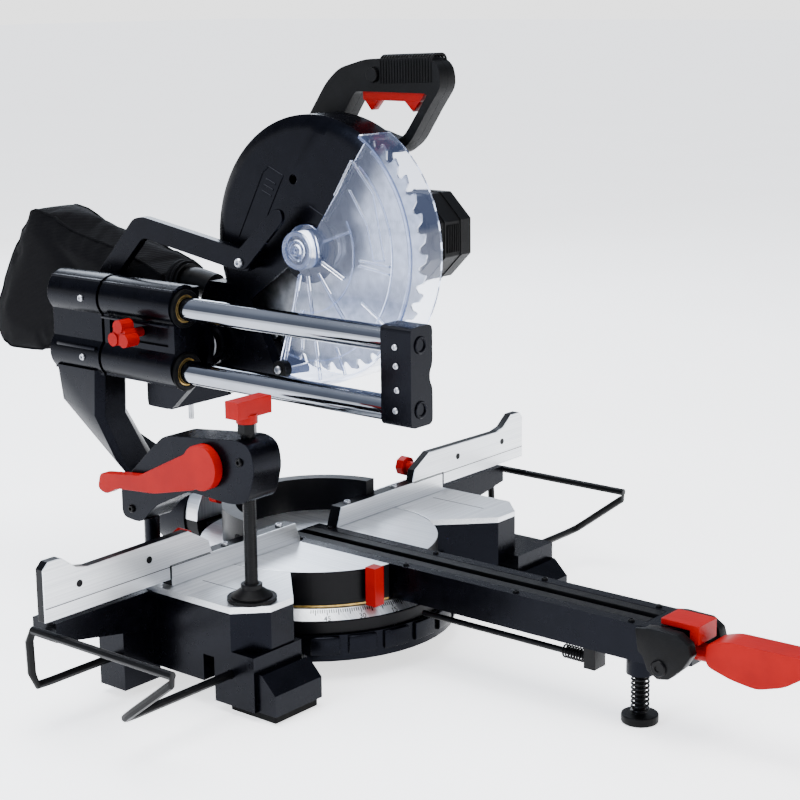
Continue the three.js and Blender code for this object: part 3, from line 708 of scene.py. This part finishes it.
bars = [bar_between("bar", (FACE_X, *first), (FACE_X, *last), 1.6, 1.8)
        for first, last in zip(PANEL, PANEL[1:] + PANEL[:1])]
for step in range(3):
    y, z = 3 * step, 6 * step
    bars.append(bar_between("bar", (FACE_X, 36 + y, 465 - z), (FACE_X, 23 + y, 460 - z), 1.8, 1.8))
for first, last in zip(FRONT_LIP, FRONT_LIP[1:]):
    bars.append(bar_between("bar", (FACE_X + 0.4, *first), (FACE_X + 0.2, *last), 2.6, 1.8))
fitted(bevelled(joined("guard_face_panel", bars), 0.4, 1), "head", "black_paint")

# %% [markdown]
# ## Screws
# Socket screws hold the housings together. A head is turned from one profile with its socket in it, and set where
# the castings have bosses.

# %% Screw heads
HEAD_PROFILE = ((0, 0), (3.2, 0), (3.2, 1.3), (2.5, 2.2), (1.5, 2.2), (1.5, 0.9), (0, 0.9))


def screws(name, body, slot, direction, places, scale=1.0):
    """Screw heads at places, heads towards direction."""
    made = []
    for place in places:
        profile = [(radius * scale, rise * scale) for radius, rise in HEAD_PROFILE]
        made.append(turned("head", profile, at(*place), direction, 16))
    return fitted(joined(name, made), body, slot)


screws("rear_housing_screws", "bevel", "steel", (-1, 0, 0), ((-101.8, 232, 337), (-101.8, 233, 275)), 1.1)
screws("front_bracket_screws", "bevel", "steel", (-1, 0, 0),
       ((-94.8, -182, 333), (-94.8, -183, 316), (-94.8, -184, 294), (-94.8, -182, 275)), 0.9)
screws("kerf_plate_screws", "turntable", "black_wire", (0, 0, 1),
       [(side * 23, y, 101.8) for side in (-1, 1) for y in (5, -133, -263, -387)], 0.95)
screws("guard_link_bolts", "head", "steel", (-1, 0, 0), ((-51, 52, 383),), 1.5)
screws("guard_roller_bolt", "roller", "steel", (-1, 0, 0), ((-41, 12.2, 278.6),), 1.3)
screws("carry_handle_bolts", "head", "black_wire", (-1, 0, 0), ((-46, 128, 318),), 1.7)
screws("base_screws", "base", "black_wire", (0, 0, 1),
       [(side * x, y, z) for side in (-1, 1) for x, y, z in ((115, 172, 42), (185, -108, 44), (108, 75, 42))], 1.3)
screws("clamp_side_bolts", "clamp", "black_wire", (-1, 0, 0), ((-203.8, 52, 168), (-203.8, -92, 236)), 1.2)
screws("fence_bolts", "base", "steel", (0, 0, 1), [(side * x, 7, 121.9) for side in (-1, 1) for x in (52, 128)], 1.2)

# %% [markdown]
# ## Rails, bracket and wipers
# The rails are tubes closed by plastic plugs in the front bracket, and a felt wiper in a ring keeps dust out of
# the carriage. All of these are turned.

# %% Rail plugs and wiper rings
RAIL_X, RAIL_ZS = -79, (272, 336)
PLUG = ((0, 0), (11.4, 0), (11.4, 2.4), (9.6, 3.2), (8.0, 3.2), (7.2, 1.6), (0, 1.6))
plugs = [turned("plug", PLUG, at(RAIL_X, -196.1, z), (0, -1, 0), 28) for z in RAIL_ZS]
fitted(joined("rail_plugs", plugs), "bevel", "black_plastic")
WIPER = ((14.6, 0), (19.5, 0), (19.5, 2.2), (18.3, 3.4), (14.6, 3.4))
wipers = [turned("wiper", WIPER, at(RAIL_X, 103.2, z), (0, -1, 0), 32) for z in RAIL_ZS]
fitted(joined("rail_wipers", wipers), "carriage", "black_plastic")

# %% [markdown]
# The housing behind the carriage has a ledge along its side, and the carriage has a rib above its lock.

# %% Housing ribs
fitted(bevelled(block("rear_housing_ledge", (-103.5, 213, 284), (-96, 272, 287.5)), 0.8), "bevel", "black_paint")
fitted(bevelled(block("carriage_ledge", (-101.2, 106, 319), (-97, 203, 321.5)), 0.6), "carriage", "black_paint")

# %% [markdown]
# The front bracket clamps the two rails. Each rail shows at its front as a socket with a raised lip, turned from a
# profile.

# %% Rail sockets
FACE_Y = (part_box("front_bracket")[0][1] - PIVOT_Y) / MM
SOCKET = ((5.4, 0), (8.2, 0), (8.2, 0.9), (7.4, 1.5), (6.2, 1.5), (5.4, 0.7))
sockets = [turned("socket", SOCKET, at(-81.5, FACE_Y, z), (0, -1, 0), 28) for z in (335, 276)]
fitted(joined("rail_sockets", sockets), "bevel", "black_paint")

# %% [markdown]
# ## Handle
# The two handle shells meet on a seam and are rounded over on the outside to fit a hand. A copy of each CAD shell is
# merged, its outer face is selected by its place, and that face's edges are bevelled by several millimetres.

# %% Rounded handle shells
GRIP_ROUND = 5.0
for side, outer_x in (("left", 25), ("right", 49)):
    source = frame["nodes"][side + "_handle_shell"]
    choose(source)
    bpy.ops.object.duplicate()
    shell = named(side + "_grip_shell")
    for modifier in list(shell.modifiers):
        shell.modifiers.remove(modifier)
    shell.parent = None
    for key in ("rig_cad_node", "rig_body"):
        del shell[key]
    opened(shell)
    bpy.ops.mesh.remove_doubles(threshold=WELD_GAP)
    bpy.ops.mesh.dissolve_limited(angle_limit=math.radians(1))
    bpy.ops.mesh.select_all(action="DESELECT")
    bpy.ops.mesh.select_mode(type="FACE")
    shape = bmesh.from_edit_mesh(shell.data)
    for face in shape.faces:
        face.select = all(abs(v.co.x / MM - outer_x) < 0.05 for v in face.verts)
    bmesh.update_edit_mesh(shell.data)
    bpy.ops.mesh.region_to_loop()
    bpy.ops.mesh.bevel(offset=GRIP_ROUND * MM, segments=5, profile=0.55, clamp_overlap=True)
    bpy.ops.mesh.select_mode(type="VERT")
    bpy.ops.object.mode_set(mode="OBJECT")
    fitted(shell, "head", "black_plastic")
    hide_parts(side + "_handle_shell")

# %% [markdown]
# The grip has ribs all round its top so that a dusty hand doesn't slip. Each rib is an arch cut from sheet, and it
# is copied along the bar.

# %% Grip ribs
arch = []
OUTER, LOW, HIGH, CORNER, RIB_WALL = 13.0, 557.0, 584.3, 8.0, 2.4
RIBS, RIB_PITCH, RIB_RISE = 19, 3.4, 0.13
for half, top, radius in ((OUTER, HIGH, CORNER), (OUTER - RIB_WALL, HIGH - RIB_WALL, CORNER - RIB_WALL)):
    side = [(-half, LOW)]
    side += [(-half + radius - radius * math.cos(a), top - radius + radius * math.sin(a))
             for a in [math.radians(22.5 * step) for step in range(5)]]
    side += [(-x, z) for x, z in reversed(side)]
    arch += side if half == OUTER else list(reversed(side))
rib = cut_outline("rib", [(37 + x, z) for x, z in arch], "y", -69.4, -67.4)
bevelled(rib, 0.5, 1)
grip = [rib]
for step in range(1, RIBS):
    grip.append(copied(rib, Matrix.Translation((0, -RIB_PITCH * step * MM, RIB_RISE * step * MM))))
fitted(joined("grip_ribs", grip), "head", "black_plastic")

# %% [markdown]
# The two red catches under the grip are moulded on the trigger bar, one for each hand.

# %% Trigger catches
catches = [cut_outline("catch", points, "x", 31.4, 42.6) for points in
           (((-42, 540.8), (-60, 540.8), (-51, 530.5)), ((-92, 540.8), (-111, 540.8), (-103, 530.5)))]
fitted(bevelled(joined("trigger_catches", catches), 0.8), "trigger", "red_plastic")

# %% [markdown]
# ## Motor
# Cooling air leaves the motor through slots at its end, and two bands show where its shells meet. A round cap in one
# side lets the carbon brushes be changed.

# %% Motor bands, louvres and brush cap
MOTOR_Y, MOTOR_Z = -55.0, 402.0
BAND = ((46.3, 0), (47.4, 0.4), (47.4, 2.2), (46.3, 2.6))
bands = [turned("band", BAND, at(x, MOTOR_Y, MOTOR_Z), (1, 0, 0), 8, start=22.5) for x in (58.5, 84.0, 110.0)]
fitted(joined("motor_bands", bands), "head", "black_plastic", angle=20)
louvres = []
FLAT = 46.5 * math.cos(math.radians(22.5))  # from the motor's axis to a flat of its eight sides
for step in range(7):
    x = 89 + 2.9 * step
    for outer, inner in ((-FLAT - 1.2, -FLAT + 1), (FLAT - 1, FLAT + 1.2)):
        louvres.append(block("louvre", (x, MOTOR_Y + outer, MOTOR_Z - 14), (x + 1.4, MOTOR_Y + inner, MOTOR_Z + 14)))
fitted(bevelled(joined("motor_louvres", louvres), 0.4, 1), "head", "black_plastic")
CAP = ((0, 0), (9, 0), (9, 2), (8, 3), (3, 3), (3, 2.2), (0, 2.2))
fitted(turned("brush_cap", CAP, at(71, MOTOR_Y - FLAT - 0.1, MOTOR_Z), (0, -1, 0), 24), "head", "black_plastic")

# %% [markdown]
# ## Lamp
# A small lamp sits under the head behind the blade and lights the cut. Its lens is a low dome that shines. Two weak
# point lights, which can't be seen themselves, spread its cool glow over the blade and the guard.

# %% Lamp
LAMP = (-12, 48, 254)
LAMP_TILT = (0, -0.25, 1)
SHELL = ((0, 8), (10, 8), (11, 0), (11, -6), (8.4, -8), (8.2, -5), (0, -5))
LENS = ((0, -5.2), (7.9, -5.2), (7.6, -7), (4, -8.6), (0, -9))
fitted(turned("lamp_housing", SHELL, at(*LAMP), LAMP_TILT, 24), "head", "black_plastic")
lens_finish, tree, shader = new_material("lit_lens", Base_Color=colour("#dfe8ff"), Roughness=0.2,
                                         Emission_Strength=2.2)
glow = add_node(tree, "ShaderNodeTexNoise", {"Scale": 300.0}, {"Vector": (object_space(tree), "Vector")})
ramp = tone_ramp(tree, glow, "Fac", "#a9c2ff", "#ffffff")
tree.links.new(ramp.outputs["Color"], shader.inputs["Emission Color"])
fitted(turned("lamp_lens", LENS, at(*LAMP), LAMP_TILT, 24), "head", "clear_plastic", lens_finish)
for name, place, power in (("lamp_glow", (-24, -75, 345), 0.5), ("lamp_beam", (-10, 0, 258), 0.35)):
    bulb = bpy.data.lights.new(name, "POINT")
    bulb.energy, bulb.color, bulb.shadow_soft_size = power, (0.5, 0.62, 1), 0.02
    light = bpy.data.objects.new(name, bulb)
    bpy.context.scene.collection.objects.link(light)
    light.location = at(*place)
    light.visible_camera = light.visible_transmission = light.visible_glossy = False
    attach(light, "head")

# %% [markdown]
# ## Mitre scale
# The sloping ring round the turntable is graduated in degrees, with a longer mark at every fifth. Numbers are
# ordinary ones from a dial: 0, 15, 30 and 45 on both sides.

# %% Graduations
RING_LOW, RING_TOP = (134.0, 56.0), (124.0, 66.1)
slope = Vector((RING_TOP[0] - RING_LOW[0], RING_TOP[1] - RING_LOW[1])).normalized()
outward = Vector((slope.y, -slope.x))


def on_scale(degrees, rise, proud=0.0):
    """A matrix on the cone of the scale: local x round the ring, y up the slope, z out of it."""
    radius = RING_LOW[0] + slope.x * rise + outward.x * proud
    z = RING_LOW[1] + slope.y * rise + outward.y * proud
    local = Matrix(((1, 0, 0, 0), (0, -slope.x, -outward.x, -radius * MM), (0, slope.y, outward.y, z * MM),
                    (0, 0, 0, 1)))
    return Matrix.Translation((0, PIVOT_Y, 0)) @ Matrix.Rotation(math.radians(degrees), 4, "Z") @ local


MARK_TOP, LONG_MARK, SHORT_MARK = 13.2, 6.0, 3.6
marks = []
for degree in range(-52, 53):
    reach = LONG_MARK if degree % 5 == 0 else SHORT_MARK
    bpy.ops.mesh.primitive_cube_add(size=1)
    mark = named("mark")
    mark.scale = (0.8 * MM, reach * MM, 0.24 * MM)
    settle(mark)
    marks.append(settle(mark, on_scale(degree, MARK_TOP - reach / 2, 0.1)))
fitted(joined("scale_marks", marks), "base", "black_wire")

# %% Numbers
numbers = []
for degree in range(-45, 46, 15):
    bpy.ops.object.select_all(action="DESELECT")
    bpy.ops.object.text_add()
    text = named("number")
    text.data.body, text.data.size, text.data.align_x = str(abs(degree)), 7 * MM, "CENTER"
    text.data.extrude = 0.12 * MM
    bpy.ops.object.convert(target="MESH")
    numbers.append(settle(bpy.context.object, on_scale(degree, 1.5, 0.1)))
fitted(joined("scale_numbers", numbers), "base", "black_wire")

# %% [markdown]
# Below the scale the front of the base ring has short blocks, like the milled edge of a large knob, and the turntable
# ends in a thin bright trim.

# %% Base ring blocks and trim
GRIP_BLOCK = ((136, 25), (140.5, 25), (141.3, 28), (141.3, 40), (140.5, 43), (136, 43))
TRIM = ((119, 66.7), (121.7, 66.7), (121.9, 67.6), (121.7, 68.6), (119, 68.6))
blocks = [turned("block", GRIP_BLOCK, at(0, 0, 0), (0, 0, 1), 4, 11.5, degrees) for degrees in range(-157, -12, 15)]
fitted(bevelled(joined("base_ring_blocks", blocks), 0.6, 1), "base", "black_paint")
fitted(turned("turntable_trim", TRIM, at(0, 0, 0), (0, 0, 1), 96, 330, -75), "turntable", "brass")

# %% [markdown]
# ## Mitre arm
# Two ears at the end of the arm hold the lock handle on a pin. The arm's screw foot and the detent rod each carry a
# spring. On the real saw the foot's spring is pressed shorter as the foot is screwed in; here it rides with the foot
# at one length.

# %% Arm ears and springs
SPRING_FOOT, SPRING_LENGTH, FOOT_TRAVEL = 9, 34, 10
ear = ((-396, 100.5), (-412, 103.2), (-438, 102.8), (-449, 96), (-452, 86), (-444, 73), (-430, 60), (-419, 58),
       (-409, 64), (-404, 76), (-399, 80))
ears = [cut_outline("ear", ear, "x", low, high) for low, high in ((-32.5, -20.5), (20.5, 32.5))]
fitted(bevelled(joined("arm_end_ears", ears), 1.5, 2), "turntable", "black_plastic")
PIN = ((0, 0), (7.5, 0), (7.5, 1.2), (6.5, 2.2), (3, 2.2), (3, 1.2), (0, 1.2))
pins = [turned("pin", PIN, at(side * 32.4, -421, 69), (side, 0, 0), 24) for side in (-1, 1)]
fitted(joined("handle_pins", pins), "turntable", "black_wire")
spring = coil("foot_spring", (0, -383, SPRING_FOOT), (0, 0, 1), SPRING_LENGTH, 7.6, 1.1, 8)
fitted(spring, "arm_foot", "black_wire")
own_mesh(spring)
fitted(coil("detent_spring", (-18, -338, 56), (0, 1, 0), 24, 5.6, 0.9, 8), "turntable", "black_wire")

# %% [markdown]
# ## Fences and tables
# Small dark holes take the screws of a wooden facing board, and a scribed line runs along each fence and table.

# %% Holes and lines
HOLE = ((0, 0), (3.4, 0), (3.4, 0.25), (2.9, 0.3), (0, 0.3))
for side, name in ((-1, "left"), (1, "right")):
    holes = [turned("hole", HOLE, at(side * x, 0.0, 135), (0, -1, 0), 20) for x in (232, 315)]
    holes.append(block("line", (side * 154, -0.25, 121.0), (side * 354, 0, 121.7)))
    fitted(joined(name + "_fence_holes", holes), name + "_fence", "black_wire")
lines = [block("line", (side * 174.6, -78, 102), (side * 175.4, -10, 102.15)) for side in (-1, 1)]
fitted(joined("table_lines", lines), "base", "black_wire")

# %% [markdown]
# ## Clamp
# The spindle is cut with a coarse thread, and a cone spreads its force over the pad.

# %% Clamp thread and cone
fitted(coil("clamp_thread", (-186, -85, 120), (0, 0, 1), 134, 5.7, 0.45, 60), "clamp_screw", "black_wire")
CONE = ((0, 109.3), (19, 106.1), (19, 107.2), (9, 114.5), (6.5, 119), (0, 119))
fitted(turned("clamp_cone", CONE, at(-186, -85, 0), (0, 0, 1), 32), "clamp_screw", "black_plastic")

# %% [markdown]
# ## Dust bag
# The bag is a gusset between two side panels of nylon cloth. It is cut a little small, then a cloth simulation
# blows it up slightly, holding it at the neck, and the seams are raised afterwards.

# %% Bag shell
BAG = ((190, 355), (222, 368), (252, 379), (294, 389), (336, 399), (372, 410), (394, 414), (404, 410), (424, 390),
       (441, 368), (460, 328), (475, 291), (476, 276), (467, 255), (452, 247), (422, 247), (394, 248), (342, 270),
       (290, 295), (240, 316), (190, 338))
VOXEL = 0.005
bag = cut_outline("dust_bag_cloth", BAG, "x", -27, 37)
remesh = bag.modifiers.new("cells", "REMESH")
remesh.mode, remesh.voxel_size = "VOXEL", VOXEL
applied(bag, remesh)
print("bag cells", len(bag.data.vertices))

# %% [markdown]
# The simulation runs twenty steps with pressure inside and no gravity, and the neck is pinned. No point may move
# more than 9 mm, which keeps the cloth clear of the carriage and the rear housing.

# %% Blow up the bag
STEPS, CAP_MOVE, CREASE_WIDTH = 20, 0.009, 9
CREASES = (((300, 330), (392, 412), 4.0), ((330, 300), (440, 262), 3.5), ((260, 345), (350, 352), 3.0),
           ((400, 380), (455, 300), 2.6))  # start, end, depth

before = [vertex.co.copy() for vertex in bag.data.vertices]
pins = bag.vertex_groups.new(name="neck")
pins.add([v.index for v in bag.data.vertices if v.co.y < PIVOT_Y + 0.215], 1.0, "ADD")
air = bag.modifiers.new("air", "CLOTH")
air.settings.quality = 6
air.settings.use_pressure = True
air.settings.uniform_pressure_force = 4.0
air.settings.tension_stiffness = air.settings.compression_stiffness = 20
air.settings.bending_stiffness = 0.4
air.settings.effector_weights.gravity = 0.0
air.settings.vertex_group_mass = "neck"
air.point_cache.frame_start, air.point_cache.frame_end = 1, STEPS
for step in range(1, STEPS + 1):
    bpy.context.scene.frame_set(step)
applied(bag, air)
bpy.context.scene.frame_set(1)
for vertex, rest in zip(bag.data.vertices, before):
    move = vertex.co - rest
    if move.length > CAP_MOVE:
        vertex.co = rest + move.normalized() * CAP_MOVE
    y, z = (vertex.co.y - PIVOT_Y) / MM, vertex.co.z / MM
    side = -1 if vertex.co.x < 5 * MM else 1
    for (y0, z0), (y1, z1), depth in CREASES:
        along = Vector((y1 - y0, z1 - z0))
        reach = max(0.0, min(1.0, Vector((y - y0, z - z0)).dot(along) / along.length_squared))
        gap = (Vector((y - y0, z - z0)) - along * reach).length
        fold = math.exp(-(gap / CREASE_WIDTH) ** 2) * math.sin(math.pi * (0.1 + 0.8 * reach))
        vertex.co.x -= side * depth * MM * fold
round_off = bag.modifiers.new("round", "SUBSURF")
round_off.levels = round_off.render_levels = 1
applied(bag, round_off)
fitted(bag, "head", "fabric", angle=80)
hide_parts("dust_bag")

# %% [markdown]
# A piped seam joins each side panel to the gusset: a thin cord of cloth that follows the panel's edge, laid on the
# finished bag by dropping each of its points to the nearest place on the cloth.

# %% Piping and neck
for side, x in (("left", -26), ("right", 36)):
    points = []
    for (y0, z0), (y1, z1) in zip(BAG, BAG[1:]):
        points += [(y0 + (y1 - y0) * t / 4, z0 + (z1 - z0) * t / 4) for t in range(4)]
    path = []
    for y, z in points:
        found, place, normal, index = bag.closest_point_on_mesh(at(x, y, z))
        path.append(place + normal * 0.0004)
    line = bpy.data.curves.new("piping", "CURVE")
    line.dimensions, line.bevel_depth, line.bevel_resolution, line.use_fill_caps = "3D", 0.0015, 2, True
    spline = line.splines.new("POLY")
    spline.points.add(len(path) - 1)
    for point, place in zip(spline.points, path):
        point.co = (*place, 1)
    cord = bpy.data.objects.new(side + "_bag_piping", line)
    bpy.context.scene.collection.objects.link(cord)
    choose(cord)
    bpy.ops.object.convert(target="MESH")
    fitted(bpy.context.object, "head", "fabric")
NECK = ((19.6, 0), (22.4, 0.6), (22.8, 3), (21.8, 5), (23.4, 7), (23.4, 10), (21.6, 12), (19.6, 12))
fitted(turned("bag_neck_collar", NECK, at(-4, 175, 346), (0, 1, 0), 40), "head", "fabric")
